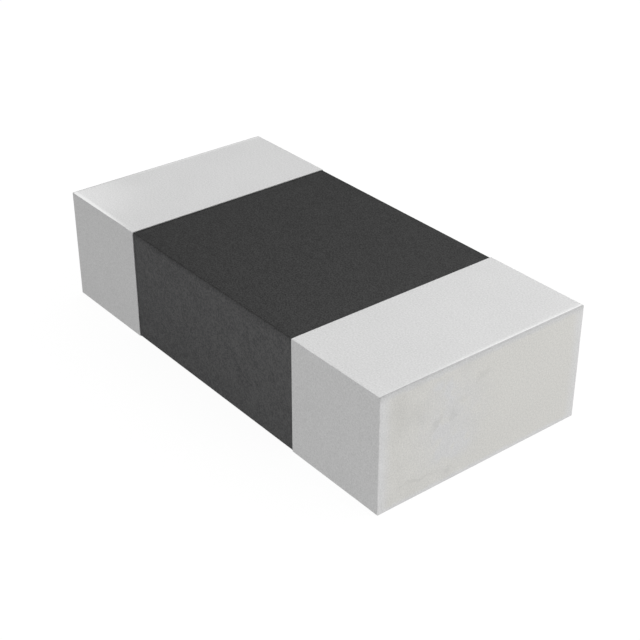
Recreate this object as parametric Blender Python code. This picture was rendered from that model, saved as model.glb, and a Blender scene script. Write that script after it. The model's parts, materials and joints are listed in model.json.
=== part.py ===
"""Chip thermistor: a surface-mount resistor whose resistance falls as it warms.

A bar of dark manganese-nickel oxide ceramic is fired together with thin metal sheets, the inner
electrodes. Every second sheet reaches one end face of the bar, and the sheets between them reach
the other. A fired silver base collects the sheets at each end, nickel and then tin are plated over
it, and a thin coat of dark glass covers the bar between the two plated ends.

Length runs along X, width along Y and thickness along Z. The origin is the middle of the underside,
the face that is soldered down. Sizes are in metres, written as millimetres times MM.
"""

from collections import namedtuple

import bmesh
import bpy
from mathutils import Vector

MM = 0.001

# The finished chip, measured over its tin
CHIP_LENGTH = 3.20 * MM
CHIP_WIDTH = 1.565 * MM
CHIP_THICKNESS = 0.78 * MM
BAND_LENGTH = 0.765 * MM

# The layers of an end cap. The silver is dipped, so it is thicker over the end face.
TIN_THICKNESS = 0.006 * MM
NICKEL_THICKNESS = 0.004 * MM
SILVER_ON_SIDES = 0.010 * MM
SILVER_ON_END = 0.030 * MM

# The glass coat ends where the end caps begin, and stays a little lower than their tin
GLASS_THICKNESS = 0.019 * MM

# The inner electrodes. The margins are the bare ceramic left round each sheet.
ELECTRODES_PER_END = 6
ELECTRODE_THICKNESS = 0.003 * MM
ELECTRODE_SIDE_MARGIN = 0.20 * MM
ELECTRODE_TIP_MARGIN = 0.45 * MM
ELECTRODE_CORNER_RADIUS = 0.06 * MM
COVER_THICKNESS = 0.09 * MM

# Edge radii. The ceramic is tumbled before it is coated, and each layer rounds it further.
CERAMIC_EDGE_RADIUS = 0.010 * MM
GLASS_EDGE_RADIUS = 0.020 * MM
TIN_EDGE_RADIUS = 0.016 * MM

# Room between two layers that are bonded on the real chip
BOND_GAP = 0.0015 * MM

# Fineness of the rounded edges, and how far the slots' cutter runs out past the ceramic
EDGE_SEGMENTS = 3
CORNER_SEGMENTS = 4
CUT_OVERSHOOT = 0.05 * MM

LEFT = -1
RIGHT = 1
SIDE_NAMES = {LEFT: "left", RIGHT: "right"}

# Where a surface lies: its depth under the finished chip's long faces, and under its end face
Depth = namedtuple("Depth", "on_sides on_end")


def under(outside, wall_on_sides, wall_on_end):
    """The inside of a wall whose outside lies at the given depth."""
    return Depth(outside.on_sides + wall_on_sides, outside.on_end + wall_on_end)


TIN_OUTSIDE = Depth(0.0, 0.0)
TIN_INSIDE = under(TIN_OUTSIDE, TIN_THICKNESS, TIN_THICKNESS)
NICKEL_OUTSIDE = under(TIN_INSIDE, BOND_GAP, BOND_GAP)
NICKEL_INSIDE = under(NICKEL_OUTSIDE, NICKEL_THICKNESS, NICKEL_THICKNESS)
SILVER_OUTSIDE = under(NICKEL_INSIDE, BOND_GAP, BOND_GAP)
SILVER_INSIDE = under(SILVER_OUTSIDE, SILVER_ON_SIDES, SILVER_ON_END)
CERAMIC_OUTSIDE = under(SILVER_INSIDE, BOND_GAP, BOND_GAP)

# The glass coat lies on the same ceramic, so it is measured outwards from there
GLASS_INSIDE_DEPTH = CERAMIC_OUTSIDE.on_sides - BOND_GAP
GLASS_OUTSIDE_DEPTH = GLASS_INSIDE_DEPTH - GLASS_THICKNESS

# Places along the length, from the middle of the chip
CAP_RIM = CHIP_LENGTH / 2 - BAND_LENGTH
GLASS_END = CAP_RIM - BOND_GAP
CERAMIC_END = CHIP_LENGTH / 2 - CERAMIC_OUTSIDE.on_end
ELECTRODE_TIP = CERAMIC_END - ELECTRODE_TIP_MARGIN

# The electrodes are spread evenly between the two plain cover layers of the ceramic
ELECTRODE_COUNT = 2 * ELECTRODES_PER_END
ELECTRODE_HALF_WIDTH = CHIP_WIDTH / 2 - CERAMIC_OUTSIDE.on_sides - ELECTRODE_SIDE_MARGIN
LOWEST_ELECTRODE = CERAMIC_OUTSIDE.on_sides + COVER_THICKNESS
HIGHEST_ELECTRODE = CHIP_THICKNESS - LOWEST_ELECTRODE
ELECTRODE_PITCH = (HIGHEST_ELECTRODE - LOWEST_ELECTRODE) / (ELECTRODE_COUNT - 1)


def clear_scene():
    """Takes every object out of the scene, so that only the chip is in it."""
    for leftover in list(bpy.data.objects):
        bpy.data.objects.remove(leftover)


def make_material(name, colour, roughness, metallic):
    """A plain surface with one colour."""
    material = bpy.data.materials.new(name)
    material.use_nodes = True
    shader = material.node_tree.nodes["Principled BSDF"]
    shader.inputs["Base Color"].default_value = (*colour, 1.0)
    shader.inputs["Roughness"].default_value = roughness
    shader.inputs["Metallic"].default_value = metallic
    return material


def add_object(name, mesh, parent):
    """Puts a new object of the chip in the scene."""
    made = bpy.data.objects.new(name, mesh)
    bpy.context.scene.collection.objects.link(made)
    made.parent = parent
    return made


def object_from(shape, name, parent):
    """Turns a finished bmesh into an object."""
    mesh = bpy.data.meshes.new(name)
    shape.to_mesh(mesh)
    shape.free()
    mesh.shade_smooth()
    return add_object(name, mesh, parent)


def dress(piece, material):
    """Gives a piece its material, and keeps its flat faces flat beside the rounded edges."""
    piece.data.materials.append(material)
    piece.modifiers.new("flat faces stay flat", "WEIGHTED_NORMAL")


def add_box(shape, low, high):
    """Adds a sharp-edged box to a bmesh and returns its edges."""
    corners = bmesh.ops.create_cube(shape, size=1.0)["verts"]
    bmesh.ops.scale(shape, vec=high - low, verts=corners)
    bmesh.ops.translate(shape, vec=(low + high) / 2, verts=corners)
    return {edge for corner in corners for edge in corner.link_edges}


def round_edges(shape, edges, radius, segments):
    """Rounds the chosen edges of a bmesh."""
    bmesh.ops.bevel(
        shape, geom=edges, offset=radius, segments=segments, profile=0.5, affect="EDGES"
    )


def add_block(shape, on_sides, x_low, x_high, radius, rounded_ends):
    """Adds a block along X whose long faces lie at a depth. Its long edges are rounded, and so are
    those round each end face that rounded_ends names, LEFT or RIGHT. Returns its faces."""
    older = set(shape.faces)
    low = Vector((x_low, on_sides - CHIP_WIDTH / 2, on_sides))
    high = Vector((x_high, CHIP_WIDTH / 2 - on_sides, CHIP_THICKNESS - on_sides))
    edges = []
    for edge in add_box(shape, low, high):
        start, end = (corner.co for corner in edge.verts)
        runs_along_chip = start.x != end.x
        nearest_end = RIGHT if start.x + end.x > x_low + x_high else LEFT
        if runs_along_chip or nearest_end in rounded_ends:
            edges.append(edge)
    round_edges(shape, edges, radius, EDGE_SEGMENTS)
    return [face for face in shape.faces if face not in older]


def open_end(shape, x_of_end):
    """Opens a wall that is made of one block inside another. Both blocks stop at x_of_end: their end
    faces are taken out there, and a rim is laid from the outer edge to the inner one."""
    ends = [
        face
        for face in shape.faces
        if abs(face.calc_center_median().x - x_of_end) < BOND_GAP / 2
    ]
    rim_edges = [edge for face in ends for edge in face.edges]
    bmesh.ops.delete(shape, geom=ends, context="FACES_ONLY")
    bmesh.ops.bridge_loops(shape, edges=rim_edges)


def add_sheet(shape, side, x_from, x_to, half_width, z_low, z_high, corner_radius):
    """Adds a thin flat sheet to a bmesh. It starts at x_from, near the end that side names, and its
    two corners at x_to are rounded as seen from above."""
    x_low, x_high = sorted((x_from, x_to))
    low = Vector((x_low, -half_width, z_low))
    high = Vector((x_high, half_width, z_high))
    tip_edges = []
    for edge in add_box(shape, low, high):
        start, end = (corner.co for corner in edge.verts)
        is_upright = start.z != end.z
        is_at_tip = (start.x + end.x - x_low - x_high) * side < 0
        if is_upright and is_at_tip:
            tip_edges.append(edge)
    round_edges(shape, tip_edges, corner_radius, CORNER_SEGMENTS)


def electrode_layout():
    """The name, side and middle height of each inner electrode, from the lowest up."""
    for number in range(ELECTRODE_COUNT):
        side = LEFT if number % 2 == 0 else RIGHT
        name = f"inner_electrode_{SIDE_NAMES[side]}_{number // 2 + 1}"
        yield name, side, LOWEST_ELECTRODE + number * ELECTRODE_PITCH


def add_inner_electrodes(parent, material):
    """The printed metal sheets, each flush with the end face that it reaches."""
    for name, side, height in electrode_layout():
        sheet = bmesh.new()
        add_sheet(
            sheet,
            side,
            x_from=side * CERAMIC_END,
            x_to=-side * ELECTRODE_TIP,
            half_width=ELECTRODE_HALF_WIDTH,
            z_low=height - ELECTRODE_THICKNESS / 2,
            z_high=height + ELECTRODE_THICKNESS / 2,
            corner_radius=ELECTRODE_CORNER_RADIUS,
        )
        dress(object_from(sheet, name, parent), material)


def add_slot_cutter(parent):
    """The space that the electrodes take in the ceramic. It is cut out, so it isn't shown."""
    slots = bmesh.new()
    for _, side, height in electrode_layout():
        add_sheet(
            slots,
            side,
            x_from=side * (CERAMIC_END + CUT_OVERSHOOT),
            x_to=-side * (ELECTRODE_TIP + BOND_GAP),
            half_width=ELECTRODE_HALF_WIDTH + BOND_GAP,
            z_low=height - ELECTRODE_THICKNESS / 2 - BOND_GAP,
            z_high=height + ELECTRODE_THICKNESS / 2 + BOND_GAP,
            corner_radius=ELECTRODE_CORNER_RADIUS + BOND_GAP,
        )
    cutter = object_from(slots, "electrode_slots", parent)
    cutter.hide_render = True
    cutter.display_type = "WIRE"
    return cutter


def add_ceramic_body(parent, material):
    """The bar, with a slot for each electrode. A slot is open at the end face that its electrode
    reaches, so the bar holds no sealed hollow."""
    bar = bmesh.new()
    add_block(
        bar,
        CERAMIC_OUTSIDE.on_sides,
        -CERAMIC_END,
        CERAMIC_END,
        CERAMIC_EDGE_RADIUS,
        (LEFT, RIGHT),
    )
    body = object_from(bar, "ceramic_body", parent)
    slots = body.modifiers.new("electrode slots", "BOOLEAN")
    slots.operation = "DIFFERENCE"
    slots.solver = "EXACT"
    slots.object = add_slot_cutter(parent)
    dress(body, material)


def add_glass_coat(parent, material):
    """The sleeve of glass round the four long faces, open at both ends."""
    coat = bmesh.new()
    add_block(coat, GLASS_OUTSIDE_DEPTH, -GLASS_END, GLASS_END, GLASS_EDGE_RADIUS, ())
    inner_faces = add_block(
        coat, GLASS_INSIDE_DEPTH, -GLASS_END, GLASS_END, CERAMIC_EDGE_RADIUS, ()
    )
    bmesh.ops.reverse_faces(coat, faces=inner_faces)
    for side in (LEFT, RIGHT):
        open_end(coat, side * GLASS_END)
    dress(object_from(coat, "glass_coat", parent), material)


def cap_edge_radius(depth):
    """Edge radius of a surface of an end cap. It changes evenly, from the tin's to the ceramic's."""
    share = depth.on_sides / CERAMIC_OUTSIDE.on_sides
    return TIN_EDGE_RADIUS + (CERAMIC_EDGE_RADIUS - TIN_EDGE_RADIUS) * share


def add_cap_block(shape, side, depth):
    """Adds the block that a surface of an end cap bounds, from the cap's rim to its end face."""
    x_low, x_high = sorted((side * CAP_RIM, side * (CHIP_LENGTH / 2 - depth.on_end)))
    return add_block(shape, depth.on_sides, x_low, x_high, cap_edge_radius(depth), (side,))


def add_cap_layer(layer_name, parent, side, outside, inside, material):
    """One layer of an end cap: a shell with five walls, open towards the middle of the chip."""
    layer = bmesh.new()
    add_cap_block(layer, side, outside)
    inner_faces = add_cap_block(layer, side, inside)
    bmesh.ops.reverse_faces(layer, faces=inner_faces)
    open_end(layer, side * CAP_RIM)
    dress(object_from(layer, f"{layer_name}_{SIDE_NAMES[side]}", parent), material)


def build_chip():
    """Builds the chip from the ceramic outwards, on one empty that moves it all."""
    clear_scene()
    oxide = make_material("manganese_nickel_oxide", (0.030, 0.029, 0.028), 0.75, 0.0)
    sheet_metal = make_material("silver_palladium", (0.60, 0.59, 0.57), 0.45, 1.0)
    glass = make_material("dark_glass", (0.047, 0.047, 0.048), 0.50, 0.0)
    silver = make_material("fired_silver", (0.74, 0.73, 0.70), 0.55, 1.0)
    nickel = make_material("plated_nickel", (0.52, 0.50, 0.46), 0.35, 1.0)
    tin = make_material("matte_tin", (0.64, 0.64, 0.64), 0.55, 1.0)

    chip = add_object("chip_thermistor", None, None)
    add_ceramic_body(chip, oxide)
    add_inner_electrodes(chip, sheet_metal)
    add_glass_coat(chip, glass)
    for side in (LEFT, RIGHT):
        add_cap_layer("silver_base", chip, side, SILVER_OUTSIDE, SILVER_INSIDE, silver)
        add_cap_layer("nickel_barrier", chip, side, NICKEL_OUTSIDE, NICKEL_INSIDE, nickel)
        add_cap_layer("tin_plate", chip, side, TIN_OUTSIDE, TIN_INSIDE, tin)


build_chip()
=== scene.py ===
# %% [markdown]
# # A chip thermistor
# This lesson dresses one small surface-mount part in Blender. A chip thermistor is a bar of dark
# oxide ceramic whose resistance falls as it warms. It is 3.2 mm long. A thin coat of dark glass
# covers its middle, and each end wears a cap of matte tin that is soldered to a board.
#
# The solid model comes from CAD and is loaded as a fixed frame, in metres. The three surfaces that
# show, one glass sleeve and two tin caps, are made again here with finer edges and a faint relief.
# The layers under them keep their CAD shape and get a material each.

import json
import math

import bpy
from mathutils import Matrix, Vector


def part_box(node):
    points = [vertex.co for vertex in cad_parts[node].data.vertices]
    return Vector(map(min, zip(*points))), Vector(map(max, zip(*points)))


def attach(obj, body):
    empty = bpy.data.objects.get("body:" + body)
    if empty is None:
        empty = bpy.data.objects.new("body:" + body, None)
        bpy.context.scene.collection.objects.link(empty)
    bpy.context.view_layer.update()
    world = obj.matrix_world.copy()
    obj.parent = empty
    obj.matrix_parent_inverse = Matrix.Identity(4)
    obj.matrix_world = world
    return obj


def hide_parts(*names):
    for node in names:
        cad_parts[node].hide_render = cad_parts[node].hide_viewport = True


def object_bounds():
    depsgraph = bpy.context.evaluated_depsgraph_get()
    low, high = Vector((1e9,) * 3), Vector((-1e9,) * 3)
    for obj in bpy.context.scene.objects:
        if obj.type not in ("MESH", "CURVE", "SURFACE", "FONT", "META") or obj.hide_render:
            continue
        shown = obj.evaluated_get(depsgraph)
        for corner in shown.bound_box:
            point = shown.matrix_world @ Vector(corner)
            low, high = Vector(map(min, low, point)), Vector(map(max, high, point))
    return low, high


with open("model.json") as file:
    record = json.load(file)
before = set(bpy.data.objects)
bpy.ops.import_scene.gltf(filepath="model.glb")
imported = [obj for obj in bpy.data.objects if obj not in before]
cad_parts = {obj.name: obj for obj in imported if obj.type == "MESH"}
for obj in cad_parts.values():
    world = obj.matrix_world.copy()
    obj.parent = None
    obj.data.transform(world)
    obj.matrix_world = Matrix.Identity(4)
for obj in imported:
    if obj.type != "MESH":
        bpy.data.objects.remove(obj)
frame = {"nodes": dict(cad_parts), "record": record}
cad_low, cad_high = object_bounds()
print("CAD nodes:", len(frame["nodes"]))

# %% [markdown]
# ## Units and helpers
# Blender counts in metres, but this part is easier to think of in millimetres, so every size below
# is a number of millimetres times MM.
#
# Colours are written as sRGB hex values, as a paint program shows them. Blender's shaders want
# linear light, so one function converts them.
#
# Shapes and materials here are both node trees. One small function adds a node to a tree, sets its
# options and fills its sockets. A socket takes a value, another node's socket, or a node, which
# stands for its first output. A shader that is there already has its sockets filled the same way.

# %% Units, colours and nodes
MM = 0.001


def linear(hex_colour):
    """The linear colour, with full opacity, of an sRGB hex value such as "#C8C9CA"."""
    channels = [int(hex_colour[place : place + 2], 16) / 255 for place in (1, 3, 5)]
    return (
        *[c / 12.92 if c <= 0.04045 else ((c + 0.055) / 1.055) ** 2.4 for c in channels],
        1.0,
    )


def fill_sockets(tree, node, sockets):
    """Gives a node's inputs, by name or number, their values or links."""
    for socket, value in sockets.items():
        if isinstance(value, bpy.types.Node):
            value = value.outputs[0]
        if isinstance(value, bpy.types.NodeSocket):
            tree.links.new(value, node.inputs[socket])
        else:
            node.inputs[socket].default_value = value


def add_node(tree, kind, sockets=None, **options):
    """Adds a node to a tree, with its options set and its sockets filled."""
    node = tree.nodes.new(kind)
    for option, value in options.items():
        setattr(node, option, value)
    fill_sockets(tree, node, sockets or {})
    return node


def new_tree(name, inputs, outputs):
    """A geometry node tree with named inputs and outputs, each given as name: type of socket."""
    tree = bpy.data.node_groups.new(name, "GeometryNodeTree")
    for label, kind in inputs.items():
        tree.interface.new_socket(label, in_out="INPUT", socket_type="NodeSocket" + kind)
    for label, kind in outputs.items():
        tree.interface.new_socket(label, in_out="OUTPUT", socket_type="NodeSocket" + kind)
    return tree, tree.nodes.new("NodeGroupInput").outputs


print("mid grey, #808080, is", round(linear("#808080")[0], 3), "in linear light")

# %% [markdown]
# ## The camera
# The photograph looks down on one long side and one end of the chip. The camera's direction,
# distance and lens were worked out from where the chip's corners lie in the picture. The parallel
# edges draw together clearly, so the camera stands close, less than three chip lengths away.
#
# A camera hides whatever is nearer than its clip distance. The usual 10 cm would hide this whole
# part, so it is set to a tenth of a millimetre.

# %% Camera
CAMERA_AZIMUTH = 51.471
CAMERA_ELEVATION = 30.597
CAMERA_DISTANCE = 8.8877 * MM
CAMERA_SHIFT_RIGHT = 0.0693 * MM
CAMERA_SHIFT_UP = -0.1405 * MM
CAMERA_LENS = 77.679
CAMERA_SENSOR = 36.0
CLIP_START = 0.1 * MM
CLIP_END = 1000 * MM


def direction(azimuth, elevation):
    """A vector of length 1. Azimuth counts in degrees from the near long side to the right end."""
    azimuth, elevation = math.radians(azimuth), math.radians(elevation)
    return Vector(
        (
            math.sin(azimuth) * math.cos(elevation),
            -math.cos(azimuth) * math.cos(elevation),
            math.sin(elevation),
        )
    )


chip_centre = (cad_low + cad_high) / 2
towards_camera = direction(CAMERA_AZIMUTH, CAMERA_ELEVATION)
camera_right = direction(CAMERA_AZIMUTH + 90, 0)
camera_up = towards_camera.cross(camera_right)

camera_data = bpy.data.cameras.new("camera")
camera_data.lens = CAMERA_LENS
camera_data.sensor_width = CAMERA_SENSOR
camera_data.clip_start = CLIP_START
camera_data.clip_end = CLIP_END
camera = bpy.data.objects.new("camera", camera_data)
camera.location = (
    chip_centre
    + towards_camera * CAMERA_DISTANCE
    + camera_right * CAMERA_SHIFT_RIGHT
    + camera_up * CAMERA_SHIFT_UP
)
camera.rotation_mode = "QUATERNION"
camera.rotation_quaternion = (-towards_camera).to_track_quat("-Z", "Y")
bpy.context.scene.collection.objects.link(camera)
bpy.context.scene.camera = camera
print("camera at", [round(value / MM, 2) for value in camera.location], "mm")

# %% [markdown]
# ## Floor and lights
# The chip rests on a plain white floor under soft studio light. Metal shows what stands round it,
# so the lights are large panels and not small bulbs. One hangs overhead and seven stand round the
# chip. Each has its own brightness, because every face of the chip mirrors other panels and the
# photograph says how light each face is. None is so bright that a cap burns out when it is seen
# from another side. The room behind them is nearly dark.

# %% Room and floor
bpy.context.scene.view_settings.view_transform = "Standard"

ROOM_STRENGTH = 0.01
FLOOR_HALF_WIDTH = 200 * MM

world = bpy.data.worlds.new("room")
bpy.context.scene.world = world
world.use_nodes = True
room = world.node_tree.nodes["Background"]
room.inputs["Color"].default_value = linear("#FFFFFF")
room.inputs["Strength"].default_value = ROOM_STRENGTH

floor_mesh = bpy.data.meshes.new("floor")
corners = [(-1, -1), (1, -1), (1, 1), (-1, 1)]
floor_mesh.from_pydata(
    [(x * FLOOR_HALF_WIDTH, y * FLOOR_HALF_WIDTH, 0.0) for x, y in corners], [], [(0, 1, 2, 3)]
)
floor = bpy.data.objects.new("floor", floor_mesh)
bpy.context.scene.collection.objects.link(floor)
print("room strength:", ROOM_STRENGTH)

# %% White paper
# What the camera, and the metal's reflections, see of the floor is part paint and part an even
# white glow. The paint takes the shadow.
FLOOR_GLOW_SHARE = 0.93
FLOOR_GLOW_REFLECTED = 0.81

floor_material = bpy.data.materials.new("white_paper_floor")
floor_material.use_nodes = True
tree = floor_material.node_tree
tree.nodes.clear()
light_path = add_node(tree, "ShaderNodeLightPath")
indirect = add_node(
    tree,
    "ShaderNodeMath",
    {0: light_path.outputs["Is Glossy Ray"], 1: light_path.outputs["Is Transmission Ray"]},
    operation="MAXIMUM",
)
seen = add_node(
    tree,
    "ShaderNodeMath",
    {0: light_path.outputs["Is Camera Ray"], 1: indirect},
    operation="MAXIMUM",
)
share = add_node(tree, "ShaderNodeMath", {0: seen, 1: FLOOR_GLOW_SHARE}, operation="MULTIPLY")
strength = add_node(
    tree,
    "ShaderNodeMath",
    {0: indirect, 1: FLOOR_GLOW_REFLECTED, 2: light_path.outputs["Is Camera Ray"]},
    operation="MULTIPLY_ADD",
)
paper = add_node(tree, "ShaderNodeBsdfDiffuse", {"Color": linear("#F7F7F7")})
glow = add_node(tree, "ShaderNodeEmission", {"Color": linear("#FFFFFF"), "Strength": strength})
mixed = add_node(tree, "ShaderNodeMixShader", {0: share, 1: paper, 2: glow})
add_node(tree, "ShaderNodeOutputMaterial", {"Surface": mixed})
floor_material.cycles.emission_sampling = "NONE"
floor_mesh.materials.append(floor_material)
print("the floor's material has", len(tree.nodes), "nodes")

# %% Panels
# Name, azimuth and elevation in degrees, width and height, and how bright the panel itself looks,
# where 1 is white. Directions are counted as the camera's are.
PANELS = (
    ("overhead_panel", 0, 90, 60 * MM, 60 * MM, 1.15),
    ("front_panel", 50, 24, 40 * MM, 28 * MM, 1.55),
    ("right_panel", 90, 28, 40 * MM, 34 * MM, 1.25),
    ("right_back_panel", 130, 30, 44 * MM, 36 * MM, 1.60),
    ("back_panel", 180, 30, 44 * MM, 36 * MM, 1.27),
    ("left_back_panel", 231, 35, 44 * MM, 40 * MM, 0.79),
    ("left_panel", 285, 35, 40 * MM, 40 * MM, 0.80),
    ("left_front_panel", 330, 30, 40 * MM, 36 * MM, 0.69),
)
PANEL_DISTANCE = 40 * MM

for name, azimuth, elevation, width, height, brightness in PANELS:
    towards_panel = direction(azimuth, elevation)
    light = bpy.data.lights.new(name, "AREA")
    light.shape = "RECTANGLE"
    light.size = width
    light.size_y = height
    light.energy = brightness * math.pi * width * height
    panel = bpy.data.objects.new(name, light)
    panel.location = chip_centre + towards_panel * PANEL_DISTANCE
    panel.rotation_mode = "QUATERNION"
    panel.rotation_quaternion = (-towards_panel).to_track_quat("-Z", "Y")
    bpy.context.scene.collection.objects.link(panel)
print("panels:", [light.name for light in bpy.data.lights])

# %% [markdown]
# ## From a lattice to a rounded box
# The sleeve and the caps follow one rule: each is a thin wall wrapped round a box with rounded
# edges. A rule like this suits Geometry Nodes. A Cube node gives a box of square cells, a lattice.
# Then each point is told its real place from its place in the lattice.
#
# Away from the edges, a point lies evenly along the flat part of its face. The last few cells next
# to an edge turn through 45 degrees in even steps, and meet the cells that come round from the next
# face. A Bevel modifier would also round the box, but it can't let the radius grow towards the end
# face, as it does on a dipped and plated end.
#
# The first tree below is that rule. The low end in X is always open. The high end is rounded if
# Rounded High says so.

# %% The rule's inputs and outputs
ROUNDED_LOW = (0.0, 1.0, 1.0)
EIGHTH_TURN = math.radians(45)

rule, given = new_tree(
    "Lattice to rounded box",
    {
        "Lattice": "Vector",
        "Cells": "Vector",
        "Round Cells": "Float",
        "Rounded High": "Vector",
        "Low Corner": "Vector",
        "High Corner": "Vector",
        "Edge Radius": "Float",
        "End Radius": "Float",
        "Blend Length": "Float",
        "Shoulder Width": "Float",
    },
    {"Position": "Vector", "Outward": "Vector", "Nearness": "Float"},
)
print("the rule reads", [socket.name for socket in given if socket.name])

# %% Flat parts and turns
# Where the flat part of each side starts and stops, in cells
half = add_node(rule, "ShaderNodeVectorMath", {0: given["Cells"], "Scale": 0.5}, operation="SCALE")
round_low = add_node(
    rule, "ShaderNodeVectorMath", {0: ROUNDED_LOW, "Scale": given["Round Cells"]}, operation="SCALE"
)
round_high = add_node(
    rule,
    "ShaderNodeVectorMath",
    {0: given["Rounded High"], "Scale": given["Round Cells"]},
    operation="SCALE",
)
flat_low = add_node(rule, "ShaderNodeVectorMath", {0: round_low, 1: half}, operation="SUBTRACT")
flat_high = add_node(rule, "ShaderNodeVectorMath", {0: half, 1: round_high}, operation="SUBTRACT")

# How far along the flat part a point lies, and how far it has turned round an edge. In the vector
# mode of Map Range, sockets 6 to 10 are the vector, its old range and its new range.
along = add_node(
    rule,
    "ShaderNodeMapRange",
    {6: given["Lattice"], 7: flat_low, 8: flat_high},
    data_type="FLOAT_VECTOR",
).outputs["Vector"]
before_low = add_node(
    rule, "ShaderNodeVectorMath", {0: flat_low, 1: given["Round Cells"]}, operation="SUBTRACT"
)
after_high = add_node(
    rule, "ShaderNodeVectorMath", {0: flat_high, 1: given["Round Cells"]}, operation="ADD"
)
turned_low = add_node(
    rule,
    "ShaderNodeMapRange",
    {6: given["Lattice"], 7: before_low, 8: flat_low, 9: (-1.0, -1.0, -1.0), 10: (0.0, 0.0, 0.0)},
    data_type="FLOAT_VECTOR",
).outputs["Vector"]
turned_high = add_node(
    rule,
    "ShaderNodeMapRange",
    {6: given["Lattice"], 7: flat_high, 8: after_high},
    data_type="FLOAT_VECTOR",
).outputs["Vector"]
turned = add_node(rule, "ShaderNodeVectorMath", {0: turned_low, 1: turned_high}, operation="ADD")
angle = add_node(
    rule, "ShaderNodeVectorMath", {0: turned, "Scale": EIGHTH_TURN}, operation="SCALE"
)
slope = add_node(rule, "ShaderNodeVectorMath", {0: angle}, operation="TANGENT")
outward = add_node(rule, "ShaderNodeVectorMath", {0: slope}, operation="NORMALIZE")
print("the rule has", len(rule.nodes), "nodes so far")

# %% Radius and place
# The radius grows from the long edges' to the end's over the blend length
low_x = add_node(rule, "ShaderNodeSeparateXYZ", {0: given["Low Corner"]})
high_x = add_node(rule, "ShaderNodeSeparateXYZ", {0: given["High Corner"]})
along_x = add_node(rule, "ShaderNodeSeparateXYZ", {0: along})
length = add_node(rule, "ShaderNodeMath", {0: high_x, 1: low_x}, operation="SUBTRACT")
left_over = add_node(rule, "ShaderNodeMath", {0: 1.0, 1: along_x}, operation="SUBTRACT")
to_end = add_node(rule, "ShaderNodeMath", {0: left_over, 1: length}, operation="MULTIPLY")
radius_here = add_node(
    rule,
    "ShaderNodeMapRange",
    {
        "Value": to_end,
        "From Min": 0.0,
        "From Max": given["Blend Length"],
        "To Min": given["End Radius"],
        "To Max": given["Edge Radius"],
    },
    interpolation_type="SMOOTHSTEP",
)
radii = add_node(
    rule, "ShaderNodeCombineXYZ", {0: given["End Radius"], 1: radius_here, 2: radius_here}
)

# The flat part runs between the centres of the edges' arcs, and each point lies one radius out
inset_low = add_node(
    rule,
    "ShaderNodeVectorMath",
    {0: radii, 1: ROUNDED_LOW, 2: given["Low Corner"]},
    operation="MULTIPLY_ADD",
)
room_high = add_node(
    rule, "ShaderNodeVectorMath", {0: radii, 1: given["Rounded High"]}, operation="MULTIPLY"
)
inset_high = add_node(
    rule, "ShaderNodeVectorMath", {0: given["High Corner"], 1: room_high}, operation="SUBTRACT"
)
span = add_node(rule, "ShaderNodeVectorMath", {0: inset_high, 1: inset_low}, operation="SUBTRACT")
arc_centre = add_node(
    rule, "ShaderNodeVectorMath", {0: along, 1: span, 2: inset_low}, operation="MULTIPLY_ADD"
)
position = add_node(
    rule, "ShaderNodeVectorMath", {0: outward, 1: radii, 2: arc_centre}, operation="MULTIPLY_ADD"
)
print("the rule has", len(rule.nodes), "nodes so far")

# %% Nearness to an edge
# Nearness is 0 in the middle of a face and 1 on the rounding. Each axis gives a nearness, and the
# axis that a face looks along always gives 1, so the second largest of the three is the one to use.
from_low = add_node(rule, "ShaderNodeVectorMath", {0: along, 1: span}, operation="MULTIPLY")
from_high = add_node(rule, "ShaderNodeVectorMath", {0: span, 1: from_low}, operation="SUBTRACT")
shoulder = add_node(
    rule,
    "ShaderNodeCombineXYZ",
    {0: given["Shoulder Width"], 1: given["Shoulder Width"], 2: given["Shoulder Width"]},
)
near_low = add_node(
    rule,
    "ShaderNodeMapRange",
    {6: from_low, 7: (0.0, 0.0, 0.0), 8: shoulder, 9: ROUNDED_LOW, 10: (0.0, 0.0, 0.0)},
    data_type="FLOAT_VECTOR",
).outputs["Vector"]
near_high = add_node(
    rule,
    "ShaderNodeMapRange",
    {6: from_high, 7: (0.0, 0.0, 0.0), 8: shoulder, 9: given["Rounded High"], 10: (0.0, 0.0, 0.0)},
    data_type="FLOAT_VECTOR",
).outputs["Vector"]
near = add_node(rule, "ShaderNodeVectorMath", {0: near_low, 1: near_high}, operation="MAXIMUM")
near_axes = add_node(rule, "ShaderNodeSeparateXYZ", {0: near}).outputs
larger = add_node(
    rule, "ShaderNodeMath", {0: near_axes["X"], 1: near_axes["Y"]}, operation="MAXIMUM"
)
smaller = add_node(
    rule, "ShaderNodeMath", {0: near_axes["X"], 1: near_axes["Y"]}, operation="MINIMUM"
)
third = add_node(rule, "ShaderNodeMath", {0: larger, 1: near_axes["Z"]}, operation="MINIMUM")
second = add_node(rule, "ShaderNodeMath", {0: smaller, 1: third}, operation="MAXIMUM")

add_node(
    rule,
    "NodeGroupOutput",
    {"Position": position, "Outward": outward, "Nearness": second},
)
print("the rule has", len(rule.nodes), "nodes")

# %% [markdown]
# ## A wall wrapped round the box
# The second tree makes a whole wall. It cuts the lattice open at its low end, and at its high end
# too where the wall has none. One copy of the open lattice becomes the outside. Extrude Mesh leaves
# a strip round each opening, and this strip becomes the rim. A second copy, turned inside out,
# becomes the inside. Merge by Distance sews the two together, so the wall is a closed body.
#
# Nothing that is fired or plated is perfectly flat. Two small effects are worked into the outside:
# the faces fall away a little towards the edges, as a shoulder, and a slow noise leaves a relief of
# a fraction of a thousandth of a millimetre.

# %% The wall's inputs and its lattice
LATTICE_ATTRIBUTE = "lattice"

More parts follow.
